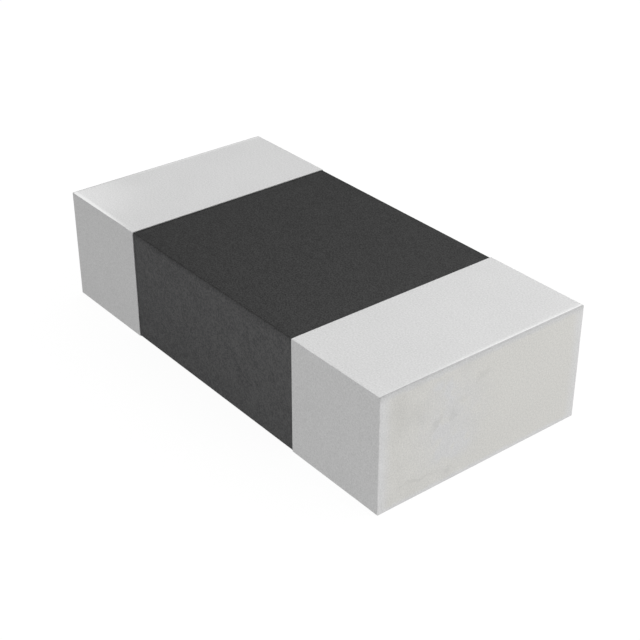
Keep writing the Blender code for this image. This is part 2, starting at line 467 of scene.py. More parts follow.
wall, given = new_tree(
    "Wrapped wall",
    {
        "Low Corner": "Vector",
        "High Corner": "Vector",
        "End Wall": "Float",
        "Thickness On Sides": "Float",
        "Thickness On End": "Float",
        "Edge Radius": "Float",
        "End Radius": "Float",
        "Blend Length": "Float",
        "Shoulder Width": "Float",
        "Shoulder Drop": "Float",
        "Relief Depth": "Float",
        "Relief Width": "Float",
        "Relief Seed": "Float",
        "Cell Size": "Float",
        "Round Cells": "Float",
        "Turn": "Vector",
        "Material": "Material",
    },
    {"Geometry": "Geometry"},
)

# The lattice, with one unit to a cell
rounded_high = add_node(wall, "ShaderNodeCombineXYZ", {0: given["End Wall"], 1: 1.0, 2: 1.0})
rounded_ends = add_node(
    wall, "ShaderNodeVectorMath", {0: rounded_high, 1: ROUNDED_LOW}, operation="ADD"
)
size = add_node(
    wall,
    "ShaderNodeVectorMath",
    {0: given["High Corner"], 1: given["Low Corner"]},
    operation="SUBTRACT",
)
size_in_cells = add_node(
    wall, "ShaderNodeVectorMath", {0: size, 1: given["Cell Size"]}, operation="DIVIDE"
)
flat_cells = add_node(wall, "ShaderNodeVectorMath", {0: size_in_cells}, operation="CEIL")
cells = add_node(
    wall,
    "ShaderNodeVectorMath",
    {0: rounded_ends, 1: given["Round Cells"], 2: flat_cells},
    operation="MULTIPLY_ADD",
)
points = add_node(wall, "ShaderNodeVectorMath", {0: cells, 1: (1.0, 1.0, 1.0)}, operation="ADD")
point_counts = add_node(wall, "ShaderNodeSeparateXYZ", {0: points}).outputs
lattice = add_node(
    wall,
    "GeometryNodeMeshCube",
    {
        "Size": cells,
        "Vertices X": point_counts["X"],
        "Vertices Y": point_counts["Y"],
        "Vertices Z": point_counts["Z"],
    },
)
place = add_node(wall, "GeometryNodeInputPosition")
kept_place = add_node(
    wall,
    "GeometryNodeStoreNamedAttribute",
    {"Geometry": lattice, "Name": LATTICE_ATTRIBUTE, "Value": place},
    data_type="FLOAT_VECTOR",
    domain="POINT",
)
print("the wall has", len(wall.nodes), "nodes so far")

# %% The open ends
# A face belongs to an end if its middle lies within this margin of it, in cells. The low end opens,
# and the high end unless it has a wall.
END_FACE_MARGIN = 0.25

half_cells = add_node(
    wall, "ShaderNodeVectorMath", {0: cells, "Scale": 0.5}, operation="SCALE"
)
end_plane = add_node(wall, "ShaderNodeSeparateXYZ", {0: half_cells})
inside_end = add_node(
    wall, "ShaderNodeMath", {0: end_plane, 1: END_FACE_MARGIN}, operation="SUBTRACT"
)
place_x = add_node(wall, "ShaderNodeSeparateXYZ", {0: place})
minus_x = add_node(wall, "ShaderNodeMath", {0: place_x, 1: -1.0}, operation="MULTIPLY")
at_low_end = add_node(
    wall, "ShaderNodeMath", {0: minus_x, 1: inside_end}, operation="GREATER_THAN"
)
at_high_end = add_node(
    wall, "ShaderNodeMath", {0: place_x, 1: inside_end}, operation="GREATER_THAN"
)
no_wall = add_node(wall, "ShaderNodeMath", {0: 1.0, 1: given["End Wall"]}, operation="SUBTRACT")
open_high_end = add_node(
    wall, "ShaderNodeMath", {0: at_high_end, 1: no_wall}, operation="MULTIPLY"
)
taken_out = add_node(
    wall, "ShaderNodeMath", {0: at_low_end, 1: open_high_end}, operation="MAXIMUM"
)
open_lattice = add_node(
    wall,
    "GeometryNodeDeleteGeometry",
    {"Geometry": kept_place, "Selection": taken_out},
    domain="FACE",
)
print("the wall has", len(wall.nodes), "nodes so far")

# %% Outside and inside
# Where each lattice point goes on the outside and on the inside, which is rounded less
INSIDE_RADIUS_SHARE = 0.25

kept = add_node(
    wall,
    "GeometryNodeInputNamedAttribute",
    {"Name": LATTICE_ATTRIBUTE},
    data_type="FLOAT_VECTOR",
)
common = {
    "Lattice": kept,
    "Cells": cells,
    "Round Cells": given["Round Cells"],
    "Rounded High": rounded_high,
    "Blend Length": given["Blend Length"],
    "Shoulder Width": given["Shoulder Width"],
}
outside = add_node(
    wall,
    "GeometryNodeGroup",
    node_tree=rule,
    sockets={
        **common,
        "Low Corner": given["Low Corner"],
        "High Corner": given["High Corner"],
        "Edge Radius": given["Edge Radius"],
        "End Radius": given["End Radius"],
    },
).outputs
end_thickness = add_node(
    wall,
    "ShaderNodeMath",
    {0: given["Thickness On End"], 1: given["End Wall"]},
    operation="MULTIPLY",
)
thickness = add_node(
    wall,
    "ShaderNodeCombineXYZ",
    {0: end_thickness, 1: given["Thickness On Sides"], 2: given["Thickness On Sides"]},
)
inside_low = add_node(
    wall,
    "ShaderNodeVectorMath",
    {0: thickness, 1: ROUNDED_LOW, 2: given["Low Corner"]},
    operation="MULTIPLY_ADD",
)
inside_high = add_node(
    wall, "ShaderNodeVectorMath", {0: given["High Corner"], 1: thickness}, operation="SUBTRACT"
)
inside_edge_radius = add_node(
    wall, "ShaderNodeMath", {0: given["Edge Radius"], 1: INSIDE_RADIUS_SHARE}, operation="MULTIPLY"
)
inside_end_radius = add_node(
    wall, "ShaderNodeMath", {0: given["End Radius"], 1: INSIDE_RADIUS_SHARE}, operation="MULTIPLY"
)
inside = add_node(
    wall,
    "GeometryNodeGroup",
    node_tree=rule,
    sockets={
        **common,
        "Low Corner": inside_low,
        "High Corner": inside_high,
        "Edge Radius": inside_edge_radius,
        "End Radius": inside_end_radius,
    },
).outputs
print("the wall has", len(wall.nodes), "nodes so far")

# %% Shoulder and relief
# The shoulder and the relief both lower the outside, so the wall stays inside its box
SHOULDER_POWER = 2.0
RELIEF_DETAIL = 2.0

falling = add_node(
    wall, "ShaderNodeMath", {0: outside["Nearness"], 1: SHOULDER_POWER}, operation="POWER"
)
drop = add_node(
    wall, "ShaderNodeMath", {0: falling, 1: given["Shoulder Drop"]}, operation="MULTIPLY"
)
waves_per_metre = add_node(
    wall, "ShaderNodeMath", {0: 1.0, 1: given["Relief Width"]}, operation="DIVIDE"
)
waves = add_node(
    wall,
    "ShaderNodeTexNoise",
    {
        "Vector": outside["Position"],
        "W": given["Relief Seed"],
        "Scale": waves_per_metre,
        "Detail": RELIEF_DETAIL,
    },
    noise_dimensions="4D",
)
lowered = add_node(
    wall,
    "ShaderNodeMath",
    {0: waves, 1: given["Relief Depth"], 2: drop},
    operation="MULTIPLY_ADD",
)
inwards = add_node(wall, "ShaderNodeMath", {0: lowered, 1: -1.0}, operation="MULTIPLY")
lowering = add_node(
    wall, "ShaderNodeVectorMath", {0: outside["Outward"], "Scale": inwards}, operation="SCALE"
)
outer_place = add_node(
    wall, "ShaderNodeVectorMath", {0: outside["Position"], 1: lowering}, operation="ADD"
)
print("the wall has", len(wall.nodes), "nodes so far")

# %% Sewing the wall together
# The outside and the rim, then the inside, then both sewn together
SEWING_DISTANCE = 0.0001 * MM

lifted = add_node(
    wall,
    "GeometryNodeExtrudeMesh",
    {"Mesh": open_lattice, "Offset Scale": 0.0, "Individual": False},
    mode="FACES",
)
all_inside = add_node(
    wall,
    "GeometryNodeSetPosition",
    {"Geometry": lifted, "Position": inside["Position"]},
)
outer_skin = add_node(
    wall,
    "GeometryNodeSetPosition",
    {"Geometry": all_inside, "Selection": lifted.outputs["Top"], "Position": outer_place},
)
inside_out = add_node(wall, "GeometryNodeFlipFaces", {"Mesh": open_lattice})
inner_skin = add_node(
    wall,
    "GeometryNodeSetPosition",
    {"Geometry": inside_out, "Position": inside["Position"]},
)
both = add_node(wall, "GeometryNodeJoinGeometry", {"Geometry": outer_skin})
fill_sockets(wall, both, {"Geometry": inner_skin})
sewn = add_node(
    wall, "GeometryNodeMergeByDistance", {"Geometry": both, "Distance": SEWING_DISTANCE}
)
tidied = add_node(
    wall, "GeometryNodeRemoveAttribute", {"Geometry": sewn, "Name": LATTICE_ATTRIBUTE}
)
turned_round = add_node(
    wall, "GeometryNodeTransform", {"Geometry": tidied, "Rotation": given["Turn"]}
)
print("the wall has", len(wall.nodes), "nodes so far")

# %% Smooth roundings, and the tree's end
# The roundings are shaded smooth, and the rim's own corners stay sharp
SHARP_ANGLE = math.radians(40)

smooth = add_node(wall, "GeometryNodeSetShadeSmooth", {"Geometry": turned_round})
bend = add_node(wall, "GeometryNodeInputMeshEdgeAngle")
sharp = add_node(wall, "ShaderNodeMath", {0: bend, 1: SHARP_ANGLE}, operation="GREATER_THAN")
creased = add_node(
    wall,
    "GeometryNodeSetShadeSmooth",
    {"Geometry": smooth, "Selection": sharp, "Shade Smooth": False},
    domain="EDGE",
)
real = add_node(wall, "GeometryNodeRealizeInstances", {"Geometry": creased})
dressed = add_node(
    wall, "GeometryNodeSetMaterial", {"Geometry": real, "Material": given["Material"]}
)
add_node(wall, "NodeGroupOutput", {"Geometry": dressed})
print("the wall has", len(wall.nodes), "nodes")

# %% [markdown]
# ## Materials: what each starts from
# Metal has no colour of its own under its shine: what it reflects is tinted by its base colour, and
# roughness says how blurred that is. Glass and ceramic are the other way round: a colour from
# inside, with a thin clear shine on top.
#
# Every pattern below reads Object coordinates, which are metres on the chip itself. A pattern's
# Scale counts repeats in a metre, so it is 1 divided by the real size of one repeat.

# %% Start and finish a material
def start_material(name, shader_sockets):
    """A material with one Principled shader, its tree, and the coordinates of its piece."""
    material = bpy.data.materials.new(name)
    material.use_nodes = True
    tree = material.node_tree
    fill_sockets(tree, tree.nodes["Principled BSDF"], shader_sockets)
    place = add_node(tree, "ShaderNodeTexCoord").outputs["Object"]
    return material, tree, place


def finish_material(material, colour, bump, unevenness, roughness_range):
    """Fills the shader. Roughness runs through its range as the unevenness goes from 0 to 1."""
    tree = material.node_tree
    roughness = add_node(
        tree,
        "ShaderNodeMapRange",
        {"Value": unevenness, "To Min": roughness_range[0], "To Max": roughness_range[1]},
    )
    fill_sockets(
        tree,
        tree.nodes["Principled BSDF"],
        {"Base Color": colour, "Roughness": roughness, "Normal": bump},
    )
    print(material.name, "has", len(tree.nodes), "nodes")


# %% [markdown]
# ## Matte tin
# The skin of each cap is tin, plated from a bath without brighteners. It grows as a felt of grains
# 3 to 8 thousandths of a millimetre across, so it doesn't mirror: the eye sees a pale, even grey
# with a fine sparkle. Such grains are smaller than a pixel, so they are drawn two pixels wide.
#
# Tone is one number here, 0 for dull tin and 1 for bright. Grains, slow clouds, marks, painted
# highlights, painted shade and painted light all add to it or take from it, and one Mix node turns
# it into a colour at the end.

# %% Matte tin: grain and clouds
TIN_GRAIN = 0.010 * MM
TIN_GRAIN_HEIGHT = 0.0003 * MM
TIN_CLOUD = 0.30 * MM
TIN_CLOUD_SHARE = 0.10

matte_tin, tree, place = start_material("matte_tin_plate", {"Metallic": 1.0})
grain = add_node(
    tree, "ShaderNodeTexNoise", {"Vector": place, "Scale": 1 / TIN_GRAIN, "Detail": 2.0}
)
cloud = add_node(
    tree, "ShaderNodeTexNoise", {"Vector": place, "Scale": 1 / TIN_CLOUD, "Detail": 3.0}
)
tone = add_node(
    tree, "ShaderNodeMath", {0: cloud, 1: TIN_CLOUD_SHARE, 2: grain}, operation="MULTIPLY_ADD"
)
print("clouds change the tone by", TIN_CLOUD_SHARE)

# %% [markdown]
# ## Where a point lies on a face
# The painted highlights and painted shade depend on how near an edge is. The Mapping node moves
# the chip's centre to zero. The size of each coordinate there, taken from half the chip's size, is
# the distance to the nearer of the two faces that look along that axis. The Normal coordinate tells
# which way a point faces.

# %% Distances to the edges
half_size = (cad_high - cad_low) / 2


def distances_to_faces(tree, place):
    """How far inside the nearer face a point lies, along each axis."""
    centred = add_node(
        tree, "ShaderNodeMapping", {"Vector": place, "Location": -chip_centre}, vector_type="POINT"
    )
    each_way = add_node(tree, "ShaderNodeVectorMath", {0: centred}, operation="ABSOLUTE")
    return add_node(
        tree, "ShaderNodeVectorMath", {0: half_size, 1: each_way}, operation="SUBTRACT"
    )


inwards = distances_to_faces(tree, place)
inwards_axes = add_node(tree, "ShaderNodeSeparateXYZ", {0: inwards}).outputs
place_axes = add_node(tree, "ShaderNodeSeparateXYZ", {0: place}).outputs
print("half the chip's size:", [round(value / MM, 4) for value in half_size], "mm")

# %% Which face a point is on
facing = add_node(tree, "ShaderNodeSeparateXYZ", {0: place.node.outputs["Normal"]}).outputs
end_facing = add_node(tree, "ShaderNodeMath", {0: facing["X"]}, operation="ABSOLUTE")
side_facing = add_node(tree, "ShaderNodeMath", {0: facing["Y"]}, operation="ABSOLUTE")

# Each face, how squarely a point looks its way, and where that starts to count and counts in full
on_face = {}
for face, squareness, (start, stop) in (
    ("end", end_facing, (0.15, 0.45)),
    ("right end", facing["X"], (0.5, 0.95)),
    ("side", side_facing, (0.5, 0.9)),
    ("top", facing["Z"], (0.7, 1.0)),
):
    on_face[face] = add_node(
        tree, "ShaderNodeMapRange", {"Value": squareness, "From Min": start, "From Max": stop}
    )
print("faces told apart:", list(on_face))

# %% [markdown]
# ## Painted highlights, painted shade and the end's stain
# Thin brighter lines are painted highlights: one along the top edge of the left cap's near side,
# which fades towards the glass and has a wide soft painted sheen beside it, and one along the top
# edge of each end. There the corner itself is painted dark as painted shade, and the end face has
# painted shade just below it.
#
# The end faces are also stained. Plating salts dry last in the middle of a face, so the middle is
# a little duller and warmer in colour, inside a cooler border. The border is wider at the sides
# than above.

# %% Fades along the cap
# Painted highlights along the top edges, a painted sheen, painted shade at the end's top edge and
# corner, and painted light on the sides and ends
SIDE_HIGHLIGHT_FADE = (-1.3 * MM, -0.8 * MM)
SIDE_HIGHLIGHT_GAIN = 0.70
END_HIGHLIGHT_REACH = (-0.6 * MM, 0.0)
END_HIGHLIGHT_GAINS = (0.08, 0.50)
WIDE_HIGHLIGHT_FADE = (-1.6 * MM, -0.9 * MM)
WIDE_HIGHLIGHT_GAIN = 0.28
EDGE_SHADE_WIDTH = 0.050 * MM
EDGE_SHADE_LOSS = 0.28
CORNER_SHADE_ON_TOP = (0.009 * MM, 0.013 * MM)
CORNER_SHADE_ON_END = (0.009 * MM, 0.002 * MM)
SIDE_PAINTED_LIGHT = (-0.09, 0.07)
END_PAINTED_LIGHT = (0.35, 0.41)

# Each fade runs smoothly from one gain to another between two values of a coordinate. Sockets 0 to
# 4 of a Map Range are its value, its old range and its new range. The last two fades are painted
# light: the long sides are painted brighter towards the right cap, and the ends are painted
# brighter, most at the far side.
top = cad_high.z
fades = {}
for name, coordinate, (start, stop), (first, last) in (
    # A painted highlight along the near side's top edge, and a wide painted sheen beside it
    ("side highlight", place_axes["X"], SIDE_HIGHLIGHT_FADE, (SIDE_HIGHLIGHT_GAIN, 0.0)),
    ("wide highlight", place_axes["X"], WIDE_HIGHLIGHT_FADE, (WIDE_HIGHLIGHT_GAIN, 0.0)),
    # A painted highlight along the top edge of each end
    ("end highlight", place_axes["Y"], END_HIGHLIGHT_REACH, END_HIGHLIGHT_GAINS),
    # Painted shade on each end face, just below its top edge
    ("painted edge shade", place_axes["Z"], (top - EDGE_SHADE_WIDTH, top), (0.0, -EDGE_SHADE_LOSS)),
    # Painted shade on the corner between top and end, reaching from the top and from the end
    ("corner shade on top", inwards_axes["X"], CORNER_SHADE_ON_TOP, (1.0, 0.0)),
    ("corner shade on end", place_axes["Z"], [top - depth for depth in CORNER_SHADE_ON_END], (0.0, 1.0)),
    ("side painted light", place_axes["X"], (-half_size.x, half_size.x), SIDE_PAINTED_LIGHT),
    ("end painted light", place_axes["Y"], (-half_size.y, half_size.y), END_PAINTED_LIGHT),
):
    fades[name] = add_node(
        tree,
        "ShaderNodeMapRange",
        {0: coordinate, 1: start, 2: stop, 3: first, 4: last},
        interpolation_type="SMOOTHSTEP",
    )
print("fades:", list(fades))

# %% Painted highlights, shade and light
HIGHLIGHT_WIDTH = 0.040 * MM
WIDE_HIGHLIGHT_WIDTH = 0.5 * MM

# Each painted highlight line is strongest at its edge, where it has its fade's gain, and is gone
# at its width
lines = {}
for name, depth, width in (
    ("side highlight", inwards_axes["Y"], HIGHLIGHT_WIDTH),
    ("wide highlight", inwards_axes["Y"], WIDE_HIGHLIGHT_WIDTH),
    ("end highlight", inwards_axes["X"], HIGHLIGHT_WIDTH),
):
    lines[name] = add_node(
        tree,
        "ShaderNodeMapRange",
        {0: depth, 1: 0.0, 2: width, 3: fades[name], 4: 0.0},
        interpolation_type="SMOOTHSTEP",
    )

# The near side's painted highlight and painted sheen go on the near half only
near_half = add_node(tree, "ShaderNodeMath", {0: place_axes["Y"], 1: 0.0}, operation="LESS_THAN")
side_highlights = add_node(
    tree, "ShaderNodeMath", {0: lines["side highlight"], 1: lines["wide highlight"]}, operation="ADD"
)
near_highlights = add_node(tree, "ShaderNodeMath", {0: side_highlights, 1: near_half}, operation="MULTIPLY")
highlights = add_node(
    tree, "ShaderNodeMath", {0: near_highlights, 1: lines["end highlight"]}, operation="MAXIMUM"
)
top_highlights = add_node(tree, "ShaderNodeMath", {0: highlights, 1: on_face["top"]}, operation="MULTIPLY")
# On the end faces the painted shade below the top edge takes the place of the painted highlights
highlights_and_edge_shade = add_node(
    tree,
    "ShaderNodeMix",
    {0: on_face["end"], 2: top_highlights, 3: fades["painted edge shade"]},
    data_type="FLOAT",
)
highlighted_tone = add_node(tree, "ShaderNodeMath", {0: tone, 1: highlights_and_edge_shade}, operation="ADD")
# The long sides are painted brighter towards the right cap, as painted light
painted_side_light = add_node(
    tree, "ShaderNodeMath", {0: fades["side painted light"], 1: on_face["side"]}, operation="MULTIPLY"
)
tone_with_painted_light = add_node(tree, "ShaderNodeMath", {0: highlighted_tone, 1: painted_side_light}, operation="ADD")
# The corner between top and end is painted dark, as painted shade
corner = add_node(
    tree,
    "ShaderNodeMath",
    {0: fades["corner shade on top"], 1: fades["corner shade on end"]},
    operation="MULTIPLY",
)
print("painted highlight lines:", list(lines))

# %% The end's stain
STAIN_WAVER = 0.07 * MM
STAIN_WAVER_DEPTH = 0.03 * MM
STAIN_BORDER = (1.0 * MM, 0.085 * MM, 0.030 * MM)
STAIN_LOSS = 0.05

waver = add_node(
    tree, "ShaderNodeTexNoise", {"Vector": place, "Scale": 1 / STAIN_WAVER, "Detail": 3.0}
)
uneven = add_node(
    tree,
    "ShaderNodeVectorMath",
    {0: waver.outputs["Color"], 1: (-STAIN_WAVER_DEPTH,) * 3, 2: inwards},
    operation="MULTIPLY_ADD",
)
border = add_node(
    tree,
    "ShaderNodeMapRange",
    {6: uneven, 7: (0.0, 0.0, 0.0), 8: STAIN_BORDER},
    data_type="FLOAT_VECTOR",
    interpolation_type="SMOOTHSTEP",
).outputs["Vector"]
border_axes = add_node(tree, "ShaderNodeSeparateXYZ", {0: border}).outputs
in_border = add_node(
    tree, "ShaderNodeMath", {0: border_axes["Y"], 1: border_axes["Z"]}, operation="MULTIPLY"
)
stain = add_node(
    tree, "ShaderNodeMath", {0: in_border, 1: on_face["end"]}, operation="MULTIPLY"
)
# Each end face is painted brighter, most at the far side, as painted light
painted_light_end_tone = add_node(
    tree,
    "ShaderNodeMath",
    {0: on_face["end"], 1: fades["end painted light"], 2: tone_with_painted_light},
    operation="MULTIPLY_ADD",
)
stained_tone = add_node(
    tree, "ShaderNodeMath", {0: stain, 1: -STAIN_LOSS, 2: painted_light_end_tone}, operation="MULTIPLY_ADD"
)
print("the stain's border:", [round(width / MM, 3) for width in STAIN_BORDER[1:]], "mm")

# %% [markdown]
# ## Marks on the end
# The end that faces the camera carries a few handling marks: some smudges, a few short smears, and
# paler patches that were wiped. Each is an ellipse. A Mapping node of the Texture type moves a mark
# to zero, turns it and scales it to a radius of 1, so the distance from zero says how far in a
# point is. A noise pushes the coordinates about first, which frays the outlines.

# %% Places of the marks
# Across and up, half length and half width, all in millimetres, turn in degrees, strength
DARK_MARKS = (
    (-0.365, 0.440, 0.120, 0.032, 45, 0.15),
    (-0.250, 0.455, 0.065, 0.028, -50, 0.12),
    (-0.240, 0.425, 0.035, 0.028, 0, 0.10),
    (-0.170, 0.525, 0.090, 0.025, 12, 0.08),
    (-0.022, 0.631, 0.080, 0.040, 25, 0.14),
    (-0.640, 0.600, 0.120, 0.220, 0, 0.14),
    (-0.500, 0.560, 0.120, 0.130, 0, 0.11),
    (-0.507, 0.121, 0.260, 0.022, -5, 0.15),
    (-0.262, 0.085, 0.050, 0.035, 0, 0.14),
)
PALE_MARKS = (
    (-0.262, 0.610, 0.080, 0.110, 0, 1.3),
    (-0.366, 0.680, 0.060, 0.060, 0, 1.0),
    (-0.330, 0.380, 0.090, 0.070, 45, 1.0),
    (-0.236, 0.235, 0.220, 0.140, 0, 1.4),
    (-0.250, 0.420, 0.400, 0.480, 0, 0.8),
)
print("marks:", len(DARK_MARKS), "dark and", len(PALE_MARKS), "pale")

# %% Frayed marks
MARK_FRAY = 0.05 * MM
MARK_FRAY_DEPTH = 0.09 * MM

fray = add_node(
    tree, "ShaderNodeTexNoise", {"Vector": place, "Scale": 1 / MARK_FRAY, "Detail": 4.0}
)
push = add_node(
    tree,
    "ShaderNodeVectorMath",
    {0: fray.outputs["Color"], 1: (0.5, 0.5, 0.5)},
    operation="SUBTRACT",
)
frayed = add_node(
    tree,
    "ShaderNodeVectorMath",
    {0: push, 1: (MARK_FRAY_DEPTH,) * 3, 2: place},
    operation="MULTIPLY_ADD",
)


def add_marks(marks):
    """The strength of all the marks together, on the end that faces +X."""
    strengths = []
    for across, up, half_length, half_width, turn, strength in marks:
        there = add_node(
            tree,
            "ShaderNodeMapping",
            {
                "Vector": frayed,
                "Location": (0.0, across * MM, up * MM),
                "Rotation": (math.radians(turn), 0.0, 0.0),
                "Scale": (1.0, half_length * MM, half_width * MM),
            },
            vector_type="TEXTURE",
        )
        away = add_node(tree, "ShaderNodeVectorMath", {0: there}, operation="LENGTH")
        strengths.append(
            add_node(
                tree,
                "ShaderNodeMapRange",
                {"Value": away.outputs["Value"], "To Min": strength, "To Max": 0.0},
                interpolation_type="SMOOTHSTEP",
            )
        )
    total = strengths[0]
    for strength in strengths[1:]:
        total = add_node(tree, "ShaderNodeMath", {0: total, 1: strength}, operation="ADD")
    return add_node(
        tree, "ShaderNodeMath", {0: total, 1: on_face["right end"]}, operation="MULTIPLY"
    )


dark_marks = add_marks(DARK_MARKS)
pale_marks = add_marks(PALE_MARKS)
print("the tin has", len(tree.nodes), "nodes so far")

# %% Mottle
# The half of the end with the marks is also faintly mottled, and the pale marks are broken by it
MOTTLE_SIZE = 0.10 * MM
MOTTLE_EDGE = (-0.20 * MM, 0.15 * MM)
MOTTLE_DEPTH = 0.28
MOTTLE_BREAKS = (0.32, 0.52)

mottle = add_node(
    tree, "ShaderNodeTexNoise", {"Vector": place, "Scale": 1 / MOTTLE_SIZE, "Detail": 5.0}
)
mottled_half = add_node(
    tree,
    "ShaderNodeMapRange",
    {
        "Value": place_axes["Y"],
        "From Min": MOTTLE_EDGE[0],
        "From Max": MOTTLE_EDGE[1],
        "To Min": MOTTLE_DEPTH,
        "To Max": 0.0,
    },
    interpolation_type="SMOOTHSTEP",
)
mottle_depth = add_node(
    tree, "ShaderNodeMath", {0: mottled_half, 1: on_face["right end"]}, operation="MULTIPLY"
)
off_middle = add_node(tree, "ShaderNodeMath", {0: mottle, 1: 0.5}, operation="SUBTRACT")
dark = add_node(
    tree,
    "ShaderNodeMath",
    {0: off_middle, 1: mottle_depth, 2: dark_marks},
    operation="MULTIPLY_ADD",
)
broken = add_node(
    tree,
    "ShaderNodeMapRange",
    {"Value": mottle, "From Min": MOTTLE_BREAKS[0], "From Max": MOTTLE_BREAKS[1]},
)
pale = add_node(tree, "ShaderNodeMath", {0: pale_marks, 1: broken}, operation="MULTIPLY")
print("the tin has", len(tree.nodes), "nodes so far")

# %% Matte tin: colour, roughness and bump
TIN_DULL = "#B1B1B1"
TIN_BRIGHT = "#DFDFDF"
TONE_LOW = 0.095
TONE_HIGH = 1.095
STAIN_TINT = "#FFFEFA"
CORNER_SHADE_TINT = "#CDCDCD"
TIN_ROUGHNESS = (0.52, 0.68)

marked_tone = add_node(tree, "ShaderNodeMath", {0: stained_tone, 1: dark}, operation="SUBTRACT")
tone_share = add_node(
    tree,
    "ShaderNodeMapRange",
    {"Value": marked_tone, "From Min": TONE_LOW, "From Max": TONE_HIGH},
)
grey = add_node(
    tree,
    "ShaderNodeMix",
    {0: tone_share, 6: linear(TIN_DULL), 7: linear(TIN_BRIGHT)},
    data_type="RGBA",
).outputs[2]
warm_left = add_node(
    tree, "ShaderNodeMath", {0: stain, 1: pale}, operation="SUBTRACT", use_clamp=True
)
tinted = add_node(
    tree,
    "ShaderNodeMix",
    {0: warm_left, 6: grey, 7: linear(STAIN_TINT)},
    data_type="RGBA",
    blend_type="MULTIPLY",
).outputs[2]
# Painted shade darkens the corner between top and end
corner_shaded = add_node(
    tree,
    "ShaderNodeMix",
    {0: corner, 6: tinted, 7: linear(CORNER_SHADE_TINT)},
    data_type="RGBA",
    blend_type="MULTIPLY",
).outputs[2]
bump = add_node(tree, "ShaderNodeBump", {"Distance": TIN_GRAIN_HEIGHT, "Height": grain})
finish_material(matte_tin, corner_shaded, bump, grain, TIN_ROUGHNESS)

# %% [markdown]
# ## Dark glass
# The middle of the chip is glazed: a powder of dark glass is coated on and fired, so that plating
# can't grow on the ceramic. The coat is thin and follows what is under it. The top and bottom were
# pressed flat, and look smooth and darker. The long sides were sawn, and their faint roughness
# makes them paler, with cloudy swirls.

# %% Dark glass: grain and swirls
GLASS_IOR = 1.5
GLASS_SHINE = 0.22
GLASS_GRAIN = 0.009 * MM
GLASS_GRAIN_CONTRAST = (0.33, 0.67)
GLASS_SWIRL = 0.06 * MM
GLASS_SWIRL_CONTRAST = (0.3, 0.7)
GLASS_SWIRL_STRETCH = 2.0
SAW_SLANT = math.radians(49)

dark_glass, tree, place = start_material(
    "dark_glass_coat", {"Metallic": 0.0, "IOR": GLASS_IOR, "Specular IOR Level": GLASS_SHINE}
)
grain = add_node(
    tree, "ShaderNodeTexNoise", {"Vector": place, "Scale": 1 / GLASS_GRAIN, "Detail": 2.0}
)
grain_tone = add_node(
    tree,
    "ShaderNodeMapRange",
    {0: grain, 1: GLASS_GRAIN_CONTRAST[0], 2: GLASS_GRAIN_CONTRAST[1]},
)
along_cut = add_node(
    tree,
    "ShaderNodeMapping",
    {
        "Vector": place,
        "Rotation": (0.0, SAW_SLANT, 0.0),
        "Scale": (GLASS_SWIRL_STRETCH, 1.0, 1.0),
    },
    vector_type="TEXTURE",
)
swirl = add_node(
    tree,
    "ShaderNodeTexNoise",
    {
        "Vector": along_cut,
        "Scale": 1 / GLASS_SWIRL,
        "Detail": 5.0,
        "Roughness": 0.6,
        "Distortion": 1.2,
    },
)
swirl_tone = add_node(
    tree,
    "ShaderNodeMapRange",
    {0: swirl, 1: GLASS_SWIRL_CONTRAST[0], 2: GLASS_SWIRL_CONTRAST[1], 3: -0.5, 4: 0.5},
)
print("the glass has", len(tree.nodes), "nodes so far")

# %% Dark glass: sawn sides
# Where the coat lies on a sawn side. The sawn look is weaker just below the sides' upper edges and
# grows stronger further down.
SAWN_FACING = (0.5, 1.0)
GLASS_SAWN_FADE = 0.050 * MM
GLASS_SAWN_AT_EDGE = 0.5
SWIRL_SHARES = (0.2, 0.45)

place_axes = add_node(tree, "ShaderNodeSeparateXYZ", {0: place}).outputs
facing = add_node(tree, "ShaderNodeSeparateXYZ", {0: place.node.outputs["Normal"]}).outputs
side_facing = add_node(tree, "ShaderNodeMath", {0: facing["Y"]}, operation="ABSOLUTE")
on_side = add_node(
    tree, "ShaderNodeMapRange", {0: side_facing, 1: SAWN_FACING[0], 2: SAWN_FACING[1]}
)
below_edge = add_node(
    tree,
    "ShaderNodeMapRange",
    {0: place_axes["Z"], 1: top - GLASS_SAWN_FADE, 2: top, 3: 1.0, 4: GLASS_SAWN_AT_EDGE},
)
sawn = add_node(tree, "ShaderNodeMath", {0: on_side, 1: below_edge}, operation="MULTIPLY")
swirl_share = add_node(
    tree, "ShaderNodeMapRange", {0: sawn, 3: SWIRL_SHARES[0], 4: SWIRL_SHARES[1]}
)
textured = add_node(
    tree,
    "ShaderNodeMath",
    {0: swirl_tone, 1: swirl_share, 2: grain_tone},
    operation="MULTIPLY_ADD",
)
print("the glass has", len(tree.nodes), "nodes so far")

# %% Dark glass: edges, painted light and painted shadow
# The pressed faces are darker at their edges, and painted light brightens the coat slowly along the
# chip. Beside the left cap's rim, painted shadow draws a thin dark line on the coat.
GLASS_EDGE_WIDTH = 0.10 * MM
GLASS_EDGE_LOSS = 0.07
GLASS_PAINTED_LIGHT = 0.12
RIM_SHADOW_WIDTH = 0.032 * MM
RIM_SHADOW_LOSS = 0.40

cap_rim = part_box("tin_plate_right")[0].x
inwards_axes = add_node(
    tree, "ShaderNodeSeparateXYZ", {0: distances_to_faces(tree, place)}
).outputs
edge_loss = add_node(
    tree, "ShaderNodeMapRange", {"Value": on_side, "To Min": -GLASS_EDGE_LOSS, "To Max": 0.0}
)
edge = add_node(
    tree,
    "ShaderNodeMapRange",
    {0: inwards_axes["Y"], 1: 0.0, 2: GLASS_EDGE_WIDTH, 3: edge_loss, 4: 0.0},
)
# Painted light: the coat is painted brighter towards the right cap
drift = add_node(
    tree,
    "ShaderNodeMapRange",
    {0: place_axes["X"], 1: -cap_rim, 2: cap_rim, 3: -GLASS_PAINTED_LIGHT, 4: GLASS_PAINTED_LIGHT},
)
